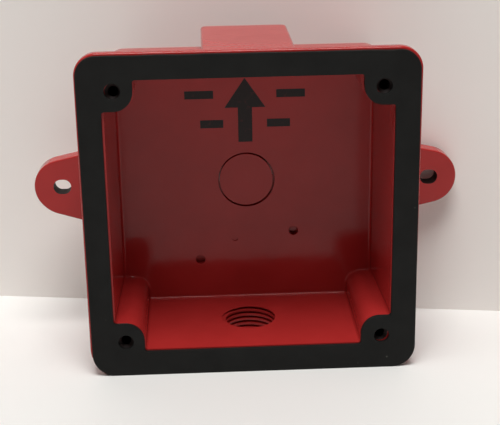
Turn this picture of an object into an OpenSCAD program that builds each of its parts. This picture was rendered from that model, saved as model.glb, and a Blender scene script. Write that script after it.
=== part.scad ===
/* [Flange] */
// Width and height of the square front flange
flange_size = 114.3; // [108:0.1:150]
// Thickness of the flange, front to back
flange_thickness = 3.175; // [2:0.1:6]
// Radius of the flange's four corners
flange_corner_radius = 9; // [6:0.5:12]

/* [Body] */
// Depth of the casting, from the wall to the front of the flange
casting_depth = 46; // [38:0.1:80]
// Thickness of the four side walls
side_wall = 3.175; // [2:0.1:5]
// Thickness of the back wall
back_wall = 3.175; // [2.5:0.1:6]
// Width of the flange's land around the mouth of the cavity
flange_land = 9.15; // [7:0.05:11]
// How much each side wall closes in from the mouth to the back wall
wall_draft = 1.1; // [0:0.1:2.5]
// Radius of the body's outer corners at the flange
body_corner_radius = 7; // [4:0.5:9]
// Radius of the cavity's corners at the mouth, behind the screw pillars
cavity_corner_radius = 4; // [3:0.5:8]

/* [Device screws] */
// Distance from each screw hole to the two nearest edges of the flange
screw_edge_distance = 12.7; // [11:0.1:16]
// Radius of the screw pillars' rounded faces
pillar_radius = 6.7; // [5:0.1:9]
// Radius of the tapped holes at the crests of the thread
screw_hole_radius = 1.75; // [1.2:0.05:2.5]
// Depth of the tapped holes
screw_hole_depth = 19; // [8:0.5:30]

/* [Gasket] */
// Thickness of the rim gasket
gasket_thickness = 1.59; // [0.8:0.01:4]
// How far the gasket's outer edge lies inside the flange's edge
gasket_inset = 0.6; // [0:0.05:2]
// How far the gasket's inner edge stops short of the cavity's mouth
gasket_setback = 0.15; // [0:0.05:2]
// Radius of the gasket's clearance holes for the screws
gasket_hole_radius = 3; // [2.6:0.1:4]

/* [Wall ears] */
// How far the centre of each slot lies outside the flange's edge
ear_slot_outset = 10.7; // [8:0.05:30]
// Radius of the ears' rounded ends
ear_radius = 10.2; // [7:0.1:14]
// Height of the ears where they meet the body
ear_root_height = 30; // [24:0.5:60]
// Thickness of the ears, from the wall forward
ear_thickness = 6.35; // [3:0.05:12]
// Width of the slots
slot_width = 5.5; // [4:0.1:8]
// Length of the slots, end to end
slot_length = 6.5; // [5.7:0.1:12]

/* [Conduit bosses] */
// Width of the top and bottom bosses
boss_width = 30.8; // [26:0.1:44]
// Distance from the wall to the centre of the conduit entry
entry_from_wall = 22.3; // [16:0.1:30]
// Radius of the entry at the crests of the thread
entry_crest_radius = 9.15; // [6:0.05:11]
// Height of the thread, from crest to root
entry_thread_height = 1.3; // [0.5:0.05:1.6]
// Distance between neighbouring threads
entry_pitch = 1.814; // [1.2:0.001:2.5]

/* [Rear knockout] */
// Radius of the knockout disc
knockout_radius = 9.92; // [7:0.01:16]
// Gap around the disc, left where its web is scored
knockout_gap = 0.3; // [0.1:0.05:0.6]
// How far the disc stands in front of the back wall's face
knockout_proud = 0.3; // [0:0.05:1]

/* [Back wall holes] */
// Radius of the two tapped earth-screw holes
earth_hole_radius = 1.75; // [1:0.05:2.5]
// Depth of the two earth-screw holes
earth_hole_depth = 2.4; // [1:0.1:2.4]
// Radius of the shallow ejector mark
ejector_mark_radius = 1.15; // [0.5:0.05:2]
// Depth of the shallow ejector mark
ejector_mark_depth = 0.3; // [0.1:0.05:1]

/* [Hidden] */
$fn = 96;
eps = 0.01;
// The flank's end lies this far inside the ear's rounded end, so that they cross.
tuck = 0.005;
cast_red = "#a02322";
gasket_black = "#1f1f1e";

// The wall is at Y = 0 and the flange faces -Y.
flange_front_y = -casting_depth;
flange_back_y = flange_front_y + flange_thickness;
cavity_floor_y = -back_wall;
flange_half = flange_size / 2;
screw_half = flange_half - screw_edge_distance;

// Half widths of the cavity and of the body, at the mouth and at the back wall.
mouth_half = flange_half - flange_land;
cavity_back_half = mouth_half - wall_draft;
draft_slope = wall_draft / (casting_depth - back_wall);
body_front_half = mouth_half + side_wall - draft_slope * flange_thickness;
body_back_half = cavity_back_half + side_wall - draft_slope * back_wall;

// The pillars' inner faces, and the ring that the gasket's lobes follow.
pillar_face = screw_half - pillar_radius;
gasket_outer_half = flange_half - gasket_inset;
gasket_inner_half = mouth_half + gasket_setback;
gasket_lobe_radius = pillar_radius - gasket_setback;

slot_half_spacing = flange_half + ear_slot_outset;

// The conduit entry runs from the hub's end up to the cavity's floor.
entry_root_radius = entry_crest_radius + entry_thread_height;
entry_floor_half = cavity_back_half + draft_slope * (entry_from_wall - back_wall);
entry_length = flange_half - entry_floor_half;
entry_mid_z = -(flange_half + entry_floor_half) / 2;
groove_half_root = entry_pitch * 0.06;
groove_half_crest = entry_pitch * 0.42;
groove_count = floor((entry_length - 2 * groove_half_crest) / entry_pitch) + 1;

// Earth-screw holes and the ejector mark, as [x, z] from the centre of the back wall.
earth_holes = [[17.6, -20.8], [-17.8, -31.5]];
ejector_mark = [-4.6, -23];

// A flat shape in X and Z, made solid from y towards the front.
module forward(y, thickness) {
    translate([0, y, 0]) rotate([90, 0, 0]) linear_extrude(thickness) children();
}

module rounded_square(half, radius) {
    square([2 * half, 2 * (half - radius)], center = true);
    square([2 * (half - radius), 2 * half], center = true);
    for (sx = [-1, 1], sz = [-1, 1])
        translate([sx * (half - radius), sz * (half - radius)]) circle(radius);
}

// A square block with rounded corners that narrows towards the wall.
module drafted_block(front_y, front_half, back_y, back_half, radius) {
    hull() {
        forward(front_y + eps, eps) rounded_square(front_half, radius, $fn = 32);
        forward(back_y, eps) rounded_square(back_half, radius - (front_half - back_half), $fn = 32);
    }
}

// One corner of the frame: a square corner whose inner edge is rounded about the screw.
module corner_lobe(face, radius, outer) {
    translate([screw_half, screw_half]) circle(radius);
    translate([screw_half, face]) square([outer - screw_half, outer - face]);
    translate([face, screw_half]) square([outer - face, outer - screw_half]);
}

module each_corner() {
    for (sx = [0, 1], sz = [0, 1])
        mirror([sx, 0]) mirror([0, sz]) children();
}

module screw_circles(radius) {
    for (sx = [-1, 1], sz = [-1, 1])
        translate([sx * screw_half, sz * screw_half]) circle(radius);
}

module cavity() {
    difference() {
        drafted_block(flange_front_y - eps, mouth_half, cavity_floor_y, cavity_back_half, cavity_corner_radius);
        forward(0, casting_depth + 1) each_corner() corner_lobe(pillar_face, pillar_radius, flange_half);
    }
}

// The ear's flank leaves the rounded end as a tangent and widens to the root.
module ear_outline() {
    run = slot_half_spacing - body_back_half + side_wall;
    rise = ear_root_height / 2;
    flank = sqrt(run * run + rise * rise);
    lean = asin(ear_radius / flank);
    tilt = atan2(rise, run) - lean;
    reach = ear_radius - tuck;
    touch = [slot_half_spacing + reach * sin(tilt), reach * cos(tilt)];
    root_x = body_back_half - side_wall;
    translate([slot_half_spacing, 0]) circle(ear_radius);
    polygon([[root_x, -rise], [touch[0], -touch[1]], [slot_half_spacing, 0],
             [touch[0], touch[1]], [root_x, rise]]);
}

module slot_outline() {
    step = (slot_length - slot_width) / 2;
    for (s = [-1, 1]) translate([slot_half_spacing + s * step, 0]) circle(slot_width / 2);
    translate([slot_half_spacing, 0]) square([2 * step, slot_width], center = true);
}

module ears() {
    for (side = [0, 1])
        mirror([side, 0, 0])
            difference() {
                forward(0, ear_thickness) ear_outline();
                forward(1, ear_thickness + 2) slot_outline();
            }
}

// The blank top boss and the bottom hub are flush with the flange's edge.
module bosses() {
    root = cavity_back_half + side_wall / 2;
    for (side = [0, 1])
        mirror([0, 0, side])
            translate([-boss_width / 2, flange_back_y - eps, root])
                cube([boss_width, -flange_back_y + eps, flange_half - root]);
}

module entry_thread() {
    translate([0, -entry_from_wall, entry_mid_z]) {
        cylinder(r = entry_crest_radius, h = entry_length + 4, center = true);
        for (i = [0 : groove_count - 1])
            translate([0, 0, (i - (groove_count - 1) / 2) * entry_pitch])
                rotate_extrude()
                    polygon([[entry_crest_radius - 0.5, -groove_half_crest],
                             [entry_crest_radius, -groove_half_crest],
                             [entry_root_radius, -groove_half_root],
                             [entry_root_radius, groove_half_root],
                             [entry_crest_radius, groove_half_crest],
                             [entry_crest_radius - 0.5, groove_half_crest]]);
    }
}

module back_wall_holes() {
    forward(1, back_wall + 2) circle(knockout_radius + knockout_gap);
    for (p = earth_holes)
        forward(cavity_floor_y + earth_hole_depth, earth_hole_depth + 1)
            translate(p) circle(earth_hole_radius);
    forward(cavity_floor_y + ejector_mark_depth, ejector_mark_depth + 1)
        translate(ejector_mark) circle(ejector_mark_radius);
}

module box_casting() {
    color(cast_red) difference() {
        union() {
            forward(flange_back_y, flange_thickness) rounded_square(flange_half, flange_corner_radius);
            drafted_block(flange_back_y - eps, body_front_half, 0, body_back_half, body_corner_radius);
            ears();
            bosses();
        }
        cavity();
        forward(flange_front_y + screw_hole_depth, screw_hole_depth + 1) screw_circles(screw_hole_radius);
        entry_thread();
        back_wall_holes();
    }
}

module rim_gasket() {
    color(gasket_black) forward(flange_front_y, gasket_thickness) difference() {
        rounded_square(gasket_outer_half, flange_corner_radius - gasket_inset);
        difference() {
            square(2 * gasket_inner_half, center = true);
            each_corner() corner_lobe(screw_half - gasket_lobe_radius, gasket_lobe_radius, flange_half);
        }
        screw_circles(gasket_hole_radius);
    }
}

module rear_knockout() {
    color(cast_red) forward(0, back_wall + knockout_proud) circle(knockout_radius);
}

box_casting();
rim_gasket();
rear_knockout();
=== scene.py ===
import math

import bmesh
import bpy
from mathutils import Matrix, Vector, noise


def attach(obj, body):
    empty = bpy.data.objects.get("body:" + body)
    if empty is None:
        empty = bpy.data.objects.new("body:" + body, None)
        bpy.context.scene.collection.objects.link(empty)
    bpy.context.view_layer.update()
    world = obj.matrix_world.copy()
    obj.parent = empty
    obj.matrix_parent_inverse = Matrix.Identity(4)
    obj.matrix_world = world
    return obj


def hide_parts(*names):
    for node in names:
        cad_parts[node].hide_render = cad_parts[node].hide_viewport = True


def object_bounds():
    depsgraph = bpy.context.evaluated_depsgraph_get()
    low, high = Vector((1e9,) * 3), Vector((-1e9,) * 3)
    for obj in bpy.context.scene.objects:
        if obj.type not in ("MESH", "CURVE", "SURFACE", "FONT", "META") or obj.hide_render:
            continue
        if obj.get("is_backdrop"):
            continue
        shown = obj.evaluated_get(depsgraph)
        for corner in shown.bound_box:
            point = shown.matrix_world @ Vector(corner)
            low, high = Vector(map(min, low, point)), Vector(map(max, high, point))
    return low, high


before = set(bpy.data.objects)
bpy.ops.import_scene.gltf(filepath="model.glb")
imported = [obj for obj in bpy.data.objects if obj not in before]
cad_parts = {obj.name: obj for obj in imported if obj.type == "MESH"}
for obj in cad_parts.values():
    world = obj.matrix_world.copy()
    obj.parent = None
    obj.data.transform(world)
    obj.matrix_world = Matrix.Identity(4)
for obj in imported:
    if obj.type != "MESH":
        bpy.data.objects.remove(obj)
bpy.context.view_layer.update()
bpy.context.scene.view_settings.view_transform = "Standard"

# ---------------------------------------------------------------------------
# The box casting: one aluminium die casting, with the square flange, the
# drafted body, two wall ears, the blank top boss and the tapped bottom hub in
# one piece. It is cast, drilled and tapped, then sprayed and stoved red.
# ---------------------------------------------------------------------------
MM = 0.001
FLANGE_HALF = 57.1499
FLANGE_FRONT = -46.0
FLANGE_BACK = -42.825
UPPER_CORNER = 7.7
LOWER_CORNER = 9.3
BODY_FRONT_HALF = 51.09
BODY_BACK_HALF = 49.99
BODY_CORNER = 7.0
BOSS_HALF = 15.4
EAR_CENTRE = 67.85
EAR_RADIUS = 10.18
EAR_ROOT_X = 46.8
EAR_ROOT_HALF = 15.0
EAR_THICK = 6.35
SLOT_WIDTH = 5.5
SLOT_LENGTH = 6.5
MOUTH_HALF = 48.0
CAVITY_BACK_HALF = 46.9
CAVITY_FLOOR = -3.175
SCREW_HALF = 44.45
PILLAR_FACE = 37.75
PILLAR_RADIUS = 6.7
PILLAR_REACH = 40.0
SCORE_RADIUS = 10.5
SCORE_SHIFT = (0.12, -0.15)
LIP_RADIUS = 9.99
LIP_THICKNESS = 0.8
BODY_BACK_ROUND = 2.2
FLANGE_FRONT_ROUND = 0.8
FLANGE_BACK_ROUND = 0.3
EAR_FRONT_ROUND = 0.5
BOSS_SIDE_ROUND = 2.2
BOSS_TOP_ROUND = 1.0
BOSS_FOOT = 48.5
VALLEY_FILLET = 1.2
FLOOR_FILLET = 1.4
WALL_FILLET = 1.0
MOUTH_ROUND = 0.3
SILL_ROUND = 0.8
RIM_ROUND = 0.15
OVERLAP = 0.5


def square_block(half, front, back_half, back, upper, lower, steps=12):
    """A square block along Y, narrower at its back, with a radius for its upper and its lower corners."""
    bm = bmesh.new()
    bmesh.ops.create_cube(bm, size=2.0)
    for v in bm.verts:
        at_back = v.co.y > 0
        size = back_half if at_back else half
        v.co = Vector((v.co.x * size, back if at_back else front, v.co.z * size))
    for side, radius in ((1, upper), (-1, lower)):
        corners = [e for e in bm.edges if abs(e.verts[0].co.y - e.verts[1].co.y) > 0.5 * (back - front)
                   and min(side * v.co.z for v in e.verts) > 0.9 * min(half, back_half)]
        round_edges(bm, corners, radius, steps)
    return bm


def round_edges(bm, edges, radius, steps):
    """Rounds these edges to a radius."""
    if not edges:
        return
    bmesh.ops.bevel(
        bm, geom=edges, offset=radius, offset_type="OFFSET", segments=steps,
        profile=0.5, affect="EDGES", clamp_overlap=True, material=-1,
    )


def combine(body, tools, operation):
    """Joins solids into one, or cuts the tools out of the body, and returns the clean mesh."""
    scene = bpy.context.scene
    made = []
    for k, bm in enumerate([body, *tools]):
        bmesh.ops.recalc_face_normals(bm, faces=bm.faces)
        bmesh.ops.triangulate(bm, faces=bm.faces)
        mesh = bpy.data.meshes.new(f"work_{k}")
        bm.to_mesh(mesh)
        bm.free()
        made.append(bpy.data.objects.new(f"work_{k}", mesh))
        scene.collection.objects.link(made[-1])
    for tool in made[1:]:
        step = made[0].modifiers.new("step", "BOOLEAN")
        step.operation = operation
        step.solver = "EXACT"
        step.object = tool
    result = bmesh.new()
    result.from_object(made[0], bpy.context.evaluated_depsgraph_get())
    for o in made:
        mesh = o.data
        bpy.data.objects.remove(o)
        bpy.data.meshes.remove(mesh)
    bmesh.ops.remove_doubles(result, verts=result.verts, dist=0.001)
    merge_flats(result)
    return result


def merge_flats(bm):
    """Merges the facets that lie in one plane."""
    bmesh.ops.dissolve_limit(
        bm, angle_limit=math.radians(0.15), use_dissolve_boundaries=False,
        verts=bm.verts, edges=bm.edges, delimit=set(),
    )


def pull(bm, faces, distance):
    """Extrudes flat faces along Y into a block."""
    grown = bmesh.ops.extrude_face_region(bm, geom=faces)["geom"]
    ends = [g for g in grown if isinstance(g, bmesh.types.BMVert)]
    bmesh.ops.translate(bm, verts=ends, vec=(0, distance, 0))


def bore(radius, low, high, axis="Y", steps=64, tip=None):
    """A round cutter from low to high along an axis, optionally with another radius at the tip."""
    bm = bmesh.new()
    bmesh.ops.create_cone(
        bm, cap_ends=True, segments=steps, radius1=radius, radius2=radius if tip is None else tip,
        depth=high - low, matrix=Matrix.Translation((0, 0, (low + high) / 2)),
    )
    if axis == "Y":
        bmesh.ops.rotate(bm, verts=bm.verts, cent=(0, 0, 0), matrix=Matrix.Rotation(-math.pi / 2, 3, "X"))
    return bm


def moved(bm, x=0.0, y=0.0, z=0.0):
    """Shifts a cutter to its place."""
    bmesh.ops.translate(bm, verts=bm.verts, vec=(x, y, z))
    return bm


def tap(crest, groove, pitch, low, turns, steps):
    """The helical ridge of a thread tap: a vee wound up the Z axis."""
    bm = bmesh.new()
    sunk, foot, tip = 0.35, 0.36, 0.06
    vee = [(crest - sunk, -foot), (crest + groove, -tip), (crest + groove, tip), (crest - sunk, foot)]
    points = [bm.verts.new((r, 0, low + h * pitch)) for r, h in vee]
    face = bm.faces.new(points)
    bmesh.ops.spin(
        bm, geom=[face, *face.edges, *points], cent=(0, 0, 0), axis=(0, 0, 1),
        dvec=(0, 0, pitch / steps), angle=2 * math.pi * turns, steps=steps * turns,
        use_merge=False, use_duplicate=False,
    )
    return bm


def ear_blank():
    """The right ear: a rounded end whose flanks widen to the body, with its front edge eased."""
    run = EAR_CENTRE - EAR_ROOT_X
    tilt = math.atan2(EAR_ROOT_HALF, run) - math.asin(EAR_RADIUS / math.hypot(run, EAR_ROOT_HALF))
    bm = bmesh.new()
    touch = Vector((EAR_CENTRE + EAR_RADIUS * math.sin(tilt), 0, -EAR_RADIUS * math.cos(tilt)))
    first = bm.verts.new(touch)
    bmesh.ops.spin(
        bm, geom=[first], cent=(EAR_CENTRE, 0, 0), axis=(0, -1, 0), angle=math.pi - 2 * tilt,
        steps=36, use_merge=False, use_duplicate=False,
    )
    ends = [v for v in bm.verts if len(v.link_edges) == 1]
    roots = [bm.verts.new((EAR_ROOT_X, 0, math.copysign(EAR_ROOT_HALF, v.co.z))) for v in ends]
    for end, root in zip(ends, roots):
        bm.edges.new((end, root))
    bm.edges.new(roots)
    outline = bmesh.ops.contextual_create(bm, geom=bm.edges[:])["faces"]
    pull(bm, outline, -EAR_THICK)
    front = [e for e in bm.edges if all(v.co.y < -EAR_THICK + 0.01 for v in e.verts)]
    round_edges(bm, [e for e in front if max(v.co.x for v in e.verts) > EAR_ROOT_X + 1], EAR_FRONT_ROUND, 4)
    return bm


def boss_blank(side):
    """The square boss above the body, or the hub below it, flush with the flange's edge."""
    bm = bmesh.new()
    bmesh.ops.create_cube(bm, size=2.0)
    for v in bm.verts:
        y = 0.0 if v.co.y > 0 else FLANGE_BACK - OVERLAP
        z = FLANGE_HALF if v.co.z > 0 else BOSS_FOOT
        v.co = Vector((v.co.x * BOSS_HALF, y, z * side))
    bmesh.ops.recalc_face_normals(bm, faces=bm.faces)
    upright = [e for e in bm.edges if abs(e.verts[0].co.z - e.verts[1].co.z) > 1 and e.verts[0].co.y > -1]
    round_edges(bm, upright, BOSS_SIDE_ROUND, 6)
    rim = [e for e in bm.edges if all(abs(abs(v.co.z) - FLANGE_HALF) < 0.01 for v in e.verts)]
    round_edges(bm, [e for e in rim if max(v.co.y for v in e.verts) > FLANGE_BACK], BOSS_TOP_ROUND, 4)
    return bm


# The outside: flange, body, bosses and one ear grown together, then mirrored about the middle.
flange = square_block(FLANGE_HALF, FLANGE_FRONT, FLANGE_HALF, FLANGE_BACK, UPPER_CORNER, LOWER_CORNER, 16)
front_edges = [e for e in flange.edges if all(v.co.y < FLANGE_FRONT + 0.01 for v in e.verts)]
round_edges(flange, front_edges, FLANGE_FRONT_ROUND, 5)
body = square_block(BODY_FRONT_HALF, FLANGE_BACK - OVERLAP, BODY_BACK_HALF, 0.0, BODY_CORNER, BODY_CORNER)
back_edges = [e for e in body.edges if all(v.co.y > -0.01 for v in e.verts)]
round_edges(body, back_edges, BODY_BACK_ROUND, 5)
casting = combine(flange, [body, boss_blank(1), boss_blank(-1), ear_blank()], "UNION")


def fold(edge):
    """How far an edge turns outwards, in degrees: positive on a ridge, negative in a valley."""
    if len(edge.link_faces) != 2:
        return 0.0
    return math.degrees(edge.calc_face_angle_signed(0.0))


valleys = [e for e in casting.edges if fold(e) < -40]
round_edges(casting, valleys, VALLEY_FILLET, 3)

# A cut beside the boss ends the flange's back edge there, and a cut down the middle drops the
# left half, which the mirror then makes again from the right one.
BESIDE_BOSS = 17.6
for x in (BESIDE_BOSS, 0.0):
    bmesh.ops.bisect_plane(
        casting, geom=casting.verts[:] + casting.edges[:] + casting.faces[:], plane_co=(x, 0, 0),
        plane_no=(-1, 0, 0), clear_outer=x == 0.0,
    )
back_rim = [
    e for e in casting.edges
    if all(abs(v.co.y - FLANGE_BACK) < 0.01 and max(v.co.x, abs(v.co.z)) > 53.5 for v in e.verts)
    and fold(e) > 55 and min(v.co.x for v in e.verts) > BESIDE_BOSS - 0.1
]
round_edges(casting, back_rim, FLANGE_BACK_ROUND, 3)
bmesh.ops.mirror(
    casting, geom=casting.verts[:] + casting.edges[:] + casting.faces[:], merge_dist=0.001, axis="X",
)
merge_flats(casting)

# The left ear was fettled less under its lower flank, so it stands a little fuller there.
EXTRA_AT_ROOT = 2.3
FLANK_START = -75
FLANK_END = -48.5
FLANK_RUN = 25
for v in casting.verts:
    if FLANK_START < v.co.x < FLANK_END and -17 < v.co.z < -7 and v.co.y > -8:
        v.co.z -= EXTRA_AT_ROOT * (v.co.x - FLANK_START) / FLANK_RUN


def cross_block(half_x, half_z, face, front, depth):
    """A square block along Y without its corners, which leaves a pillar at each when it is cut out."""
    bm = bmesh.new()
    bmesh.ops.create_grid(bm, x_segments=3, y_segments=3, size=3.0)
    bmesh.ops.rotate(bm, verts=bm.verts, cent=(0, 0, 0), matrix=Matrix.Rotation(math.pi / 2, 3, "X"))
    for v in bm.verts:
        v.co.x = math.copysign(half_x if abs(v.co.x) > 2 else face, v.co.x)
        v.co.z = math.copysign(half_z if abs(v.co.z) > 2 else face, v.co.z)
        v.co.y = front
    middles = {f: f.calc_center_median() for f in bm.faces}
    pillars = [f for f in bm.faces if min(abs(middles[f].x), abs(middles[f].z)) > PILLAR_REACH]
    bmesh.ops.delete(bm, geom=pillars, context="FACES")
    pull(bm, bm.faces[:], depth)
    bmesh.ops.dissolve_limit(bm, angle_limit=0.01, verts=bm.verts, edges=bm.edges)
    return bm


def round_uprights(bm, near, far, radius, steps):
    """Rounds the edges along Y whose reach from the middle lies between near and far."""
    uprights = [e for e in bm.edges if abs(e.verts[0].co.y - e.verts[1].co.y) > 2]
    chosen = [e for e in uprights if near < max(abs(e.verts[0].co.x), abs(e.verts[0].co.z)) < far]
    round_edges(bm, chosen, radius, steps)


# The cavity: a core that starts in front of the flange and narrows towards the back wall.
START = FLANGE_FRONT - 2.0
core = cross_block(MOUTH_HALF, MOUTH_HALF, PILLAR_FACE, START, CAVITY_FLOOR - START)
round_uprights(core, 0, PILLAR_REACH, PILLAR_RADIUS - 0.02, 14)
round_uprights(core, MOUTH_HALF - 0.1, FLANGE_HALF, WALL_FILLET, 4)
close_in = (CAVITY_BACK_HALF - PILLAR_FACE) / (MOUTH_HALF - PILLAR_FACE)
for v in core.verts:
    if v.co.y > FLANGE_FRONT:
        for axis in (0, 2):
            if abs(v.co[axis]) > PILLAR_FACE:
                spare = (abs(v.co[axis]) - PILLAR_FACE) * close_in
                v.co[axis] = math.copysign(PILLAR_FACE + spare, v.co[axis])
floor_rim = [e for e in core.edges if all(v.co.y > CAVITY_FLOOR - 0.01 for v in e.verts)]
round_edges(core, [e for e in floor_rim if len(e.link_faces) == 2 and fold(e) != 0], FLOOR_FILLET, 5)
casting = combine(casting, [core], "DIFFERENCE")


def in_mouth(edge):
    """Whether an edge lies on the front rim of the cavity."""
    on_front = all(abs(v.co.y - FLANGE_FRONT) < 0.01 for v in edge.verts)
    reach = max(max(abs(v.co.x), abs(v.co.z)) for v in edge.verts)
    return on_front and reach < MOUTH_HALF + 0.2 and abs(fold(edge)) > 30


def on_sill(edge):
    """Whether an edge lies at the bottom of the mouth."""
    return all(abs(v.co.z + MOUTH_HALF) < 0.1 for v in edge.verts)


# The mouth is eased all round, and then its sill. The short edges in its corners hold both
# bevels back, so the edge ends up nearly crisp, eased by less than 0.1 mm.
sides = [e for e in casting.edges if in_mouth(e) and not on_sill(e)]
round_edges(casting, sides, MOUTH_ROUND, 3)
sill = [e for e in casting.edges if in_mouth(e) and on_sill(e) and e.calc_length() > 10]
round_edges(casting, sill, SILL_ROUND, 5)

# The machined holes: wall slots, knockout ring, pipe entry, cover-screw and earth-screw holes.
cutters = []
for side in (-1, 1):
    slot = bore(SLOT_WIDTH / 2, -EAR_THICK - 2, 2, steps=48)
    for v in slot.verts:
        v.co.x += math.copysign((SLOT_LENGTH - SLOT_WIDTH) / 2, v.co.x)
    cutters.append(moved(slot, x=side * EAR_CENTRE))

# The score ring lies a little off centre, and a thin lip at its back nearly meets the disc.
score = bore(SCORE_RADIUS, CAVITY_FLOOR - 2, -LIP_THICKNESS, steps=96)
cutters.append(moved(score, x=SCORE_SHIFT[0], z=SCORE_SHIFT[1]))
cutters.append(bore(LIP_RADIUS, -LIP_THICKNESS - 0.7, 2, steps=96))
casting = combine(casting, cutters, "DIFFERENCE")


def on_hole_rim(v):
    """Whether a vertex lies on the front of the knockout's ring or round a wall slot."""
    on_ring = abs(math.hypot(v.co.x, v.co.z) - SCORE_RADIUS) < 0.3 and v.co.y < CAVITY_FLOOR + 0.1
    on_slot = math.hypot(abs(v.co.x) - EAR_CENTRE, v.co.z) < 4.0
    return on_ring or on_slot


rims = [e for e in casting.edges if fold(e) > 55 and all(on_hole_rim(v) for v in e.verts)]
round_edges(casting, rims, RIM_ROUND, 2)

ENTRY_Y = -22.3
ENTRY_TOP = -47.39
ENTRY_CREST = 9.15
ENTRY_PITCH = 25.4 / 14
THREAD_DEPTH = 1.5
THREAD_TURNS = 7
THREAD_BOTTOM = -47.9 - 6.25 * ENTRY_PITCH
TAPPED_RADIUS = 1.75
COVER_SCREW_DEPTH = 19
EARTH_SCREW_DEPTH = 2.4
EARTH_SCREWS = ((17.6, -20.8), (-17.8, -31.5))
EJECTOR_RADIUS = 1.3
EJECTOR_DEPTH = 0.45
EJECTOR_PLACE = (-4.6, -23.0)


def lead_in(wide, narrow, half_depth):
    """A short cone that opens the front of a tapped hole."""
    return bore(wide, -half_depth, half_depth, steps=32, tip=narrow)


cutters = [moved(bore(ENTRY_CREST, -FLANGE_HALF - 2, ENTRY_TOP + 3, axis="Z", steps=96), y=ENTRY_Y)]
for x in (-SCREW_HALF, SCREW_HALF):
    for z in (-SCREW_HALF, SCREW_HALF):
        hole = bore(TAPPED_RADIUS, FLANGE_FRONT - 1, FLANGE_FRONT + COVER_SCREW_DEPTH, steps=32)
        cutters.append(moved(hole, x=x, z=z))
        cutters.append(moved(lead_in(3.25, 1.6, 0.6), x=x, y=FLANGE_FRONT + 0.3, z=z))
for x, z in EARTH_SCREWS:
    hole = bore(TAPPED_RADIUS, CAVITY_FLOOR - 1, CAVITY_FLOOR + EARTH_SCREW_DEPTH, steps=32)
    cutters.append(moved(hole, x=x, z=z))
    cutters.append(moved(lead_in(2.35, 1.45, 0.45), x=x, y=CAVITY_FLOOR, z=z))
ejector = bore(EJECTOR_RADIUS, CAVITY_FLOOR - 1, CAVITY_FLOOR + EJECTOR_DEPTH, steps=24)
cutters.append(moved(ejector, x=EJECTOR_PLACE[0], z=EJECTOR_PLACE[1]))
casting = combine(casting, cutters, "DIFFERENCE")
thread = moved(tap(ENTRY_CREST, THREAD_DEPTH, ENTRY_PITCH, THREAD_BOTTOM, THREAD_TURNS, 64), y=ENTRY_Y)
casting = combine(casting, [thread], "DIFFERENCE")

# The walls of the small holes are marked for painted shade: the enamel darkens them to nearly black.
painted_hole_shade = casting.faces.layers.float.new("painted_hole_shade")
small_holes = [(x, 0.0, 4.0) for x in (-EAR_CENTRE, EAR_CENTRE)]
small_holes += [(x, z, 2.9) for x in (-SCREW_HALF, SCREW_HALF) for z in (-SCREW_HALF, SCREW_HALF)]
for face in casting.faces:
    middle = face.calc_center_median()
    if abs(face.normal.y) > 0.9:
        continue
    if any(math.hypot(middle.x - x, middle.z - z) < reach for x, z, reach in small_holes):
        face[painted_hole_shade] = 1.0


def linear(code):
    """An sRGB hex colour as the linear numbers that a shader takes."""
    parts = [int(code[k:k + 2], 16) / 255 for k in (0, 2, 4)]
    return tuple(p / 12.92 if p <= 0.04045 else ((p + 0.055) / 1.055) ** 2.4 for p in parts) + (1.0,)


def add_node(tree, kind, values=None, links=None, **settings):
    """Adds a node with its settings, its own values and the links into it."""
    node = tree.nodes.new(kind)
    for name, value in settings.items():
        setattr(node, name, value)
    for socket, value in (values or {}).items():
        node.inputs[socket].default_value = value
    for socket, source in (links or {}).items():
        tree.links.new(source, node.inputs[socket])
    return node


def new_material(name):
    """An empty material with its node tree cleared."""
    material = bpy.data.materials.new(name)
    material.use_nodes = True
    material.node_tree.nodes.clear()
    return material


# Stoved gloss enamel over cast aluminium. It levels to a soft orange peel about
# 2 mm across, over the faint waves of the casting, so reflections stay readable
# but swim a little. Slightly thicker paint lies darker in broad patches. The walls of the
# small holes get painted shade, a nearly black colour, and a duller gloss.
enamel = new_material("stoved_red_enamel")
tree = enamel.node_tree
place = add_node(tree, "ShaderNodeTexCoord")
patches = add_node(tree, "ShaderNodeTexNoise", {"Scale": 1 / 0.03, "Detail": 3.0, "Roughness": 0.6},
                   {"Vector": place.outputs["Object"]})
shade = add_node(tree, "ShaderNodeValToRGB", links={"Fac": patches.outputs["Fac"]})
shade.color_ramp.elements[0].position = 0.35
shade.color_ramp.elements[0].color = linear("A12827")
shade.color_ramp.elements[1].position = 0.65
shade.color_ramp.elements[1].color = linear("AB2D2C")
peel = add_node(tree, "ShaderNodeTexNoise", {"Scale": 1 / 0.0022, "Detail": 2.0, "Roughness": 0.45},
                {"Vector": place.outputs["Object"]})
waves = add_node(tree, "ShaderNodeTexNoise", {"Scale": 1 / 0.012, "Detail": 1.0},
                 {"Vector": place.outputs["Object"]})
cast_waves = add_node(tree, "ShaderNodeBump", {"Strength": 0.25, "Distance": 0.0004},
                      {"Height": waves.outputs["Fac"]})
orange_peel = add_node(tree, "ShaderNodeBump", {"Strength": 0.35, "Distance": 0.00008},
                       {"Height": peel.outputs["Fac"], "Normal": cast_waves.outputs["Normal"]})
haze = add_node(tree, "ShaderNodeMapRange", {"To Min": 0.1, "To Max": 0.17},
                {"Value": patches.outputs["Fac"]})
hole_shade_mask = add_node(tree, "ShaderNodeAttribute", attribute_name="painted_hole_shade")
# Painted shade: the marked hole walls are mixed to a nearly black colour.
coat = add_node(tree, "ShaderNodeMix", {7: linear("1E0F0D")},
                {0: hole_shade_mask.outputs["Fac"], 6: shade.outputs["Color"]}, data_type="RGBA")
dulled = add_node(tree, "ShaderNodeMath", {1: 0.45}, {0: hole_shade_mask.outputs["Fac"], 2: haze.outputs["Result"]},
                  operation="MULTIPLY_ADD")
paint = add_node(tree, "ShaderNodeBsdfPrincipled", {"IOR": 1.46, "Specular IOR Level": 0.3},
                 {"Base Color": coat.outputs[2], "Roughness": dulled.outputs["Value"],
                  "Normal": orange_peel.outputs["Normal"]})
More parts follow.
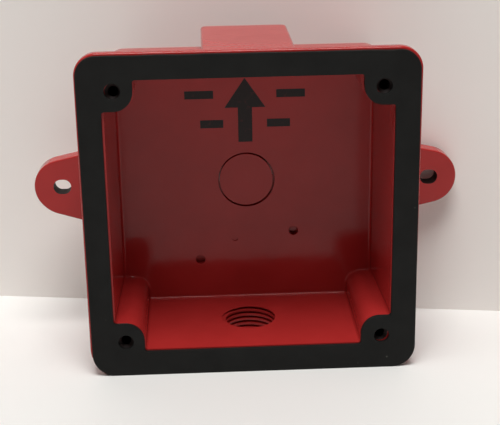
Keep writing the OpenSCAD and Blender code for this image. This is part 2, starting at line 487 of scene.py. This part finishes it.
add_node(tree, "ShaderNodeOutputMaterial", links={"Surface": paint.outputs["BSDF"]})


def make_piece(bm, name, material, crease=32.0):
    """Turns a mesh modelled in millimetres into a finished piece in metres, smooth between its creases."""
    bmesh.ops.recalc_face_normals(bm, faces=bm.faces)
    bmesh.ops.scale(bm, vec=(MM, MM, MM), verts=bm.verts)
    mesh = bpy.data.meshes.new(name)
    bm.to_mesh(mesh)
    bm.free()
    mesh.shade_smooth()
    mesh.set_sharp_from_angle(angle=math.radians(crease))
    mesh.materials.append(material)
    piece = bpy.data.objects.new(name, mesh)
    bpy.context.scene.collection.objects.link(piece)
    weigh = piece.modifiers.new("even_shading", "WEIGHTED_NORMAL")
    weigh.keep_sharp = True
    weigh.weight = 60
    return piece


cast_box = make_piece(casting, "cast_box", enamel)
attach(cast_box, "box")
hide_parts("box_casting")

# ---------------------------------------------------------------------------
# The rear knockout: a disc left in the back wall inside a scored ring, to be
# punched out for a conduit from behind. It is cast and painted with the box.
# ---------------------------------------------------------------------------
DISC_RADIUS = 9.92
DISC_FRONT = -3.475
DISC_ROUND = 0.1
disc = bmesh.new()
profile = [(0.0, DISC_FRONT), (DISC_RADIUS, DISC_FRONT), (DISC_RADIUS, 0.0), (0.0, 0.0)]
rim = [disc.verts.new((x, y, 0)) for x, y in profile]
for pair in zip(rim, rim[1:]):
    disc.edges.new(pair)
bmesh.ops.bevel(
    disc, geom=[rim[1], rim[2]], offset=DISC_ROUND, offset_type="OFFSET", segments=2, profile=0.5,
    affect="VERTICES", clamp_overlap=True, material=-1,
)
bmesh.ops.spin(
    disc, geom=disc.verts[:] + disc.edges[:], cent=(0, 0, 0), axis=(0, 1, 0), angle=2 * math.pi,
    steps=96, use_merge=True, use_duplicate=False,
)
bmesh.ops.remove_doubles(disc, verts=disc.verts, dist=0.001)
knockout_disc = make_piece(disc, "knockout_disc", enamel)
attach(knockout_disc, "knockout")
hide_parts("rear_knockout")

# ---------------------------------------------------------------------------
# The rim gasket: a frame die cut from 1.6 mm black rubber sheet and stuck to
# the flange by hand, a little off centre and out of square, with four screw holes.
# ---------------------------------------------------------------------------
GASKET_BACK = -46.0
GASKET_FRONT = -47.5899
GASKET_UPPER_CORNER = 6.6
GASKET_LOWER_CORNER = 8.2
GASKET_ROUND = 0.1
BLANK_HALF = 57.0
LAID_HALF_X = 56.5
LAID_HALF_Z = 56.7
LEAN = 0.12
PINCH = 0.27
SAG = 0.42
TOP_WAVE = 0.18
TOP_SLOPE = 0.05
OPENING_HALF_X = 48.4
OPENING_HALF_Z = 48.26
OPENING_DROP = 0.3
OPENING_PILLAR_RADIUS = 6.5
OPENING_CORNER = 0.95
PUNCH_RADIUS = 2.7
PUNCH_PLACES = ((-44.75, 44.75), (44.2, 44.4), (45.0, -44.95), (-44.45, -44.45))
sheet = square_block(
    BLANK_HALF, GASKET_FRONT, BLANK_HALF, GASKET_BACK, GASKET_UPPER_CORNER, GASKET_LOWER_CORNER, 14,
)
bmesh.ops.subdivide_edges(
    sheet, edges=[e for e in sheet.edges if e.calc_length() > 20], cuts=24, use_grid_fill=False,
)

# As stuck down, the sheet leans a little, spreads less at its upper right and wanders along its top.
for v in sheet.verts:
    across, up = v.co.x / BLANK_HALF, v.co.z / BLANK_HALF
    v.co.x = LAID_HALF_X * across - LEAN * up - PINCH * up * max(across, 0.0) + 0.05
    wander = TOP_WAVE * noise.noise(Vector((v.co.x * 0.12, 3.0, 0))) - TOP_SLOPE * across
    v.co.z = LAID_HALF_Z * up - SAG + wander * max(up, 0.0)
opening = cross_block(OPENING_HALF_X, OPENING_HALF_Z, PILLAR_FACE + 0.15, GASKET_FRONT - 1, 4)
for v in opening.verts:
    v.co.z -= OPENING_DROP if v.co.z < -MOUTH_HALF else 0.0
round_uprights(opening, 0, PILLAR_REACH, OPENING_PILLAR_RADIUS, 14)
round_uprights(opening, MOUTH_HALF, FLANGE_HALF, OPENING_CORNER, 4)
skew = Matrix.Rotation(math.radians(-0.1), 3, "Y")
bmesh.ops.rotate(opening, verts=opening.verts, cent=(0, 0, 0), matrix=skew)
punches = [moved(opening, x=-0.2, z=0.16)]
for x, z in PUNCH_PLACES:
    punches.append(moved(bore(PUNCH_RADIUS, GASKET_FRONT - 1, GASKET_BACK + 1, steps=48), x=x, z=z))
sheet = combine(sheet, punches, "DIFFERENCE")
gasket_edges = [e for e in sheet.edges if fold(e) > 60]
round_edges(sheet, gasket_edges, GASKET_ROUND, 2)

# Carbon-black sheet rubber. It has a fine skin that scatters light evenly, faint
# mottling where it was rolled, and a few specks of dust.
rubber = new_material("die_cut_black_rubber")
tree = rubber.node_tree
place = add_node(tree, "ShaderNodeTexCoord")
mottle = add_node(tree, "ShaderNodeTexNoise", {"Scale": 1 / 0.009, "Detail": 4.0, "Roughness": 0.6},
                  {"Vector": place.outputs["Object"]})
black = add_node(tree, "ShaderNodeValToRGB", links={"Fac": mottle.outputs["Fac"]})
black.color_ramp.elements[0].position = 0.3
black.color_ramp.elements[0].color = linear("131312")
black.color_ramp.elements[1].position = 0.7
black.color_ramp.elements[1].color = linear("1A1A19")
dots = add_node(tree, "ShaderNodeTexVoronoi", {"Scale": 1 / 0.011, "Randomness": 1.0},
                {"Vector": place.outputs["Object"]})
speck = add_node(tree, "ShaderNodeMapRange",
                 {"From Min": 0.045, "From Max": 0.02, "To Min": 0.0, "To Max": 0.5},
                 {"Value": dots.outputs["Distance"]})
dusty = add_node(tree, "ShaderNodeMix", {7: linear("8C8A84")},
                 {0: speck.outputs["Result"], 6: black.outputs["Color"]}, data_type="RGBA")
grain = add_node(tree, "ShaderNodeTexNoise", {"Scale": 1 / 0.0006, "Detail": 2.0},
                 {"Vector": place.outputs["Object"]})
skin = add_node(tree, "ShaderNodeBump", {"Strength": 0.5, "Distance": 0.00006},
                {"Height": grain.outputs["Fac"]})
surface = add_node(tree, "ShaderNodeBsdfPrincipled",
                   {"Roughness": 0.75, "IOR": 1.5, "Specular IOR Level": 0.22},
                   {"Base Color": dusty.outputs[2], "Normal": skin.outputs["Normal"]})
add_node(tree, "ShaderNodeOutputMaterial", links={"Surface": surface.outputs["BSDF"]})
cut_gasket = make_piece(sheet, "cut_gasket", rubber)
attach(cut_gasket, "box")
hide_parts("rim_gasket")

# ---------------------------------------------------------------------------
# The up mark: a plain arrow between four short bars, screened on the back wall
# in black ink to show the fitter which way up the box goes.
# ---------------------------------------------------------------------------
INK_Y = CAVITY_FLOOR - 0.03
INK_THICKNESS = 0.04
UPPER_BARS = (11.5, 22.0, 31.0, 34.0)
LOWER_BARS = (8.0, 16.5, 20.0, 23.0)
mark = bmesh.new()


def ink_patch(points):
    """One flat printed shape on the back wall."""
    mark.faces.new([mark.verts.new((x, INK_Y, z)) for x, z in points])


ink_patch([(-7.5, 27.5), (0.0, 38.5), (7.5, 27.5)])
ink_patch([(-2.6, 27.5), (2.6, 27.5), (2.6, 14.5), (-2.6, 14.5)])
for side in (-1, 1):
    for near, far, low, high in (UPPER_BARS, LOWER_BARS):
        ink_patch([(side * near, low), (side * far, low), (side * far, high), (side * near, high)])
pull(mark, mark.faces[:], INK_THICKNESS)

# Screen ink dries thin and slightly satin, and lets a little red through where
# the enamel under it is rough.
ink = new_material("screened_black_ink")
tree = ink.node_tree
place = add_node(tree, "ShaderNodeTexCoord")
rubbed = add_node(tree, "ShaderNodeTexNoise", {"Scale": 1 / 0.0018, "Detail": 4.0, "Roughness": 0.7},
                  {"Vector": place.outputs["Object"]})
film = add_node(tree, "ShaderNodeValToRGB", links={"Fac": rubbed.outputs["Fac"]})
film.color_ramp.elements[0].position = 0.3
film.color_ramp.elements[0].color = linear("471416")
film.color_ramp.elements[1].position = 0.42
film.color_ramp.elements[1].color = linear("1B0D0D")
surface = add_node(tree, "ShaderNodeBsdfPrincipled",
                   {"Roughness": 0.4, "IOR": 1.5, "Specular IOR Level": 0.3},
                   {"Base Color": film.outputs["Color"]})
add_node(tree, "ShaderNodeOutputMaterial", links={"Surface": surface.outputs["BSDF"]})
up_mark = make_piece(mark, "up_mark", ink)
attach(up_mark, "box")

# ---------------------------------------------------------------------------
# The stage: a pale table, a pale board close behind the box and turned a little
# from it, soft light from a large ceiling panel and two weaker ones, and the camera.
# ---------------------------------------------------------------------------
TABLE_Z = -57.15
TABLE_HALF = 2000
BOARD_TOP = 190
BOARD_LEFT = (-255, 53.4)
BOARD_RIGHT = (330, -39.4)


def plain_sheet(name, corners, code, roughness):
    """A flat stage surface in one pale tone."""
    bm = bmesh.new()
    bm.faces.new([bm.verts.new([c * MM for c in p]) for p in corners])
    mesh = bpy.data.meshes.new(name)
    bm.to_mesh(mesh)
    bm.free()
    sheet_object = bpy.data.objects.new(name, mesh)
    bpy.context.scene.collection.objects.link(sheet_object)
    material = new_material(name)
    bsdf = add_node(material.node_tree, "ShaderNodeBsdfPrincipled",
                    {"Base Color": linear(code), "Roughness": roughness})
    add_node(material.node_tree, "ShaderNodeOutputMaterial", links={"Surface": bsdf.outputs["BSDF"]})
    mesh.materials.append(material)
    sheet_object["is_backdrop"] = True
    return sheet_object


square = [(-1, -1), (1, -1), (1, 1), (-1, 1)]
plain_sheet("pale_table", [(x * TABLE_HALF, y * TABLE_HALF, TABLE_Z) for x, y in square], "EEEEEC", 0.5)
board = plain_sheet("pale_board", [
    (*BOARD_LEFT, TABLE_Z), (*BOARD_RIGHT, TABLE_Z), (*BOARD_RIGHT, BOARD_TOP), (*BOARD_LEFT, BOARD_TOP),
], "F6F2EE", 0.8)

# The board is clear from behind and casts no shadow, so it hides nothing from other sides.
board.visible_shadow = False
tree = board.data.materials[0].node_tree
side_seen = add_node(tree, "ShaderNodeNewGeometry")
clear = add_node(tree, "ShaderNodeBsdfTransparent")
bsdf = next(n for n in tree.nodes if n.type == "BSDF_PRINCIPLED")
out = next(n for n in tree.nodes if n.type == "OUTPUT_MATERIAL")
either = add_node(tree, "ShaderNodeMixShader", links={
    0: side_seen.outputs["Backfacing"], 1: bsdf.outputs["BSDF"], 2: clear.outputs["BSDF"],
})
tree.links.new(either.outputs["Shader"], out.inputs["Surface"])

world = bpy.data.worlds.new("pale_room")
bpy.context.scene.world = world
world.use_nodes = True
world.node_tree.nodes["Background"].inputs["Color"].default_value = linear("F2EEEA")
world.node_tree.nodes["Background"].inputs["Strength"].default_value = 0.01

WARM_WHITE = (1.0, 0.985, 0.965)


def soft_panel(name, place, size, watts):
    """A square soft light turned to the box."""
    light = bpy.data.lights.new(name, "AREA")
    light.size = size
    light.energy = watts
    light.color = WARM_WHITE
    holder = bpy.data.objects.new(name, light)
    holder.location = place
    holder.rotation_euler = (-Vector(place)).to_track_quat("-Z", "Y").to_euler()
    bpy.context.scene.collection.objects.link(holder)


soft_panel("ceiling_panel", (0.0, -0.342, 0.94), 0.5, 9.9)
soft_panel("left_window", (-0.604, -0.22, 0.766), 0.5, 1.3)
soft_panel("rear_panel", (0.0, 0.5, 0.866), 0.6, 1.1)

CAMERA_PLACE = (-0.015956, -0.425274, 0.131880)
CAMERA_TURN = -2.334
CAMERA_DOWN = 18.948
CAMERA_ROLL = -0.916
camera = bpy.data.cameras.new("camera")
camera.lens = 85.426
camera.sensor_width = 36.0
camera.clip_start = 0.01
camera.clip_end = 20.0
camera_object = bpy.data.objects.new("camera", camera)
bpy.context.scene.collection.objects.link(camera_object)
camera_object.matrix_world = (
    Matrix.Translation(CAMERA_PLACE)
    @ Matrix.Rotation(math.radians(CAMERA_TURN), 4, "Z")
    @ Matrix.Rotation(math.radians(90 - CAMERA_DOWN), 4, "X")
    @ Matrix.Rotation(math.radians(CAMERA_ROLL), 4, "Z")
)
bpy.context.scene.camera = camera_object

low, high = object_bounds()
